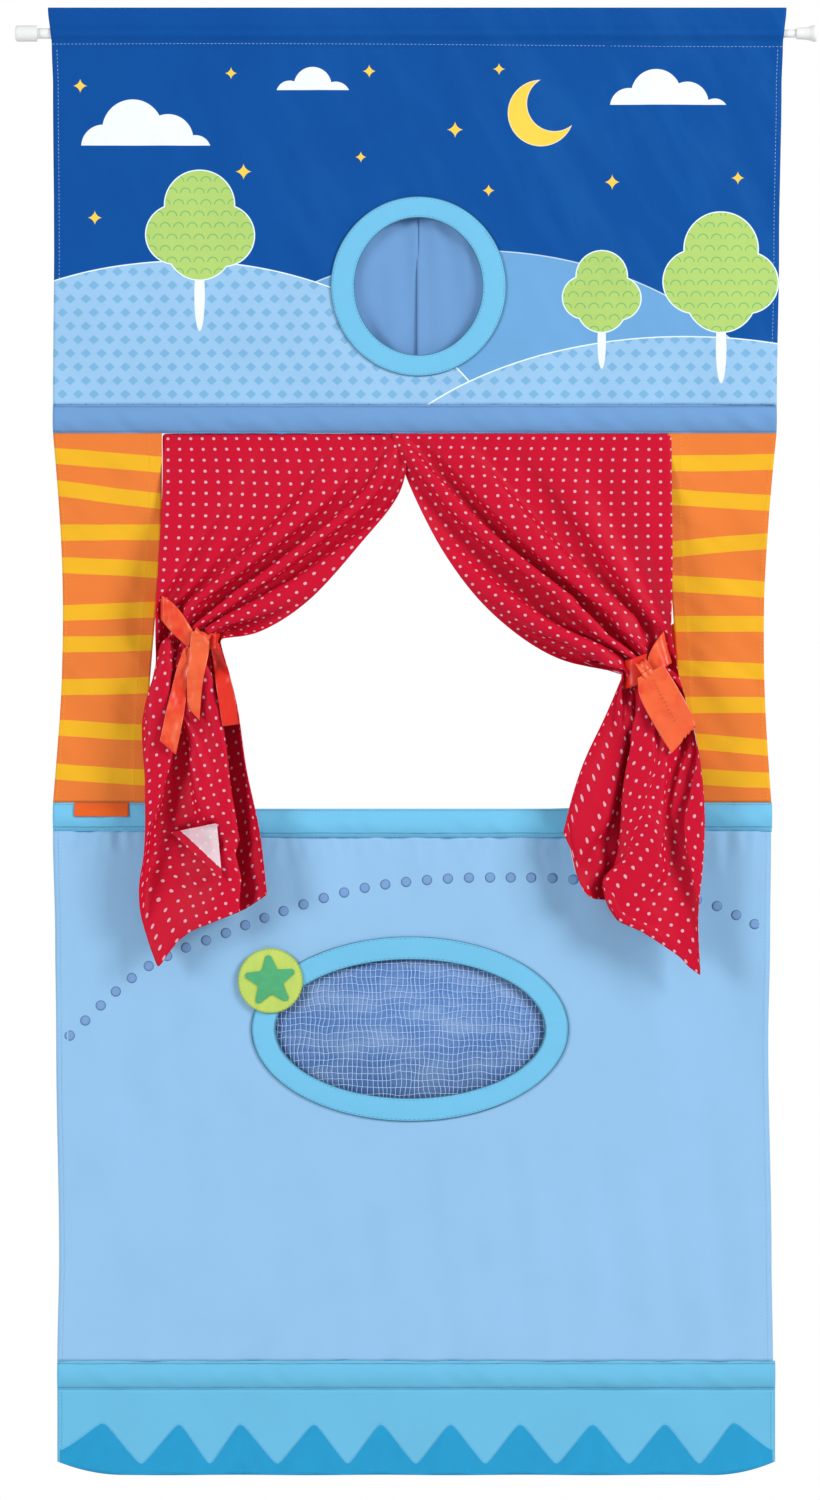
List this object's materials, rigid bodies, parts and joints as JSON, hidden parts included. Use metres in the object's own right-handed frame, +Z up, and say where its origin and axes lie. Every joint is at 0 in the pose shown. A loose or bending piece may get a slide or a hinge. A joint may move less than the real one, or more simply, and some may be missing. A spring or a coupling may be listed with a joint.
{
  "type": "doorway puppet theatre",
  "caption": "Fabric puppet theatre that hangs in a doorway on a spring tension rod, with tied stage curtains, a round flap window and an oval net window.",
  "frame": {"origin": "centre of the left pad's flat face, on the rod's axis", "axes": "+X along the rod from the left pad to the right pad, +Z up, the audience on the -Y side"},
  "size_m": [0.765, 0.0416, 1.4014],
  "materials": {
    "white_steel": "white painted steel tube",
    "nylon": "moulded nylon",
    "spring_steel": "drawn spring wire",
    "rubber_pad": "white rubber, matt",
    "header_cloth": "printed cotton, deep blue",
    "blue_cloth": "plain cotton, mid blue",
    "turquoise_cloth": "plain cotton, turquoise",
    "striped_cloth": "cotton, orange with yellow stripes",
    "red_cloth": "cotton, red with white spots",
    "ribbon": "satin ribbon, orange red",
    "label_cloth": "woven label tape, bare",
    "pale_blue_cloth": "cotton, pale blue with a dotted line",
    "net": "coarse net, light blue",
    "backing_cloth": "plain cotton, mid blue",
    "lime_cloth": "felt, lime",
    "green_cloth": "felt, green",
    "zigzag_cloth": "printed cotton, dark turquoise",
    "dowel": "plain birch dowel"
  },
  "bodies": {
    "rod": {"rod_outer_tube": "white_steel", "rod_tube_ring": "nylon", "rod_stop_plug": "nylon", "rod_spring": "spring_steel", "rod_left_cap": "rubber_pad"},
    "slider": {"rod_inner_tube": "white_steel", "rod_inner_plug": "nylon", "rod_right_cap": "rubber_pad"},
    "header": {"header_panel": "header_cloth", "porthole_ring": "turquoise_cloth", "pelmet_band": "blue_cloth", "pelmet_rod": "dowel"},
    "flap_left": {"porthole_flap_left": "blue_cloth"},
    "flap_right": {"porthole_flap_right": "blue_cloth"},
    "stage": {"pillar_left": "striped_cloth", "pillar_right": "striped_cloth", "curtain_left": "red_cloth", "curtain_right": "red_cloth", "tie_left_band": "ribbon", "tie_left_wrap": "ribbon", "tie_left_knot": "ribbon", "tie_left_tail_front": "ribbon", "tie_left_tail_side": "ribbon", "tie_left_tail_back": "ribbon", "tie_right_band": "ribbon", "tie_right_wrap": "ribbon", "tie_right_knot": "ribbon", "tie_right_tail": "ribbon"},
    "lower": {"sill_band": "turquoise_cloth", "sill_rod": "dowel", "blank_label": "label_cloth", "lower_panel": "pale_blue_cloth", "oval_ring": "turquoise_cloth", "oval_net": "net", "oval_backing": "backing_cloth", "star_disc": "lime_cloth", "star": "green_cloth", "hem_band": "turquoise_cloth", "hem_rod": "dowel", "flounce": "turquoise_cloth", "zigzag_trim": "zigzag_cloth"}
  },
  "joints": [
    {"name": "rod_extend", "type": "slide", "parent": "rod", "child": "slider", "axis": [1, 0, 0], "range_m": [-0.008, 0.33], "deforming": ["rod_spring"]},
    {"name": "cloth_swing", "type": "hinge", "parent": "rod", "child": "header", "pos_m": [0.38, 0, 0], "axis": [1, 0, 0], "range_deg": [-35, 35]},
    {"name": "flap_left_open", "type": "hinge", "parent": "header", "child": "flap_left", "pos_m": [0.313, 0.0009, -0.2416], "axis": [0, 0, 1], "range_deg": [0, 75]},
    {"name": "flap_right_open", "type": "hinge", "parent": "header", "child": "flap_right", "pos_m": [0.457, 0.0009, -0.2416], "axis": [0, 0, -1], "range_deg": [0, 75]},
    {"name": "stage_fold", "type": "hinge", "parent": "header", "child": "stage", "pos_m": [0.38, -0.0019, -0.38165], "axis": [1, 0, 0], "range_deg": [-120, 0]},
    {"name": "lower_fold", "type": "hinge", "parent": "stage", "child": "lower", "pos_m": [0.38, 0.0006, -0.73455], "axis": [1, 0, 0], "range_deg": [0, 120]}
  ]
}
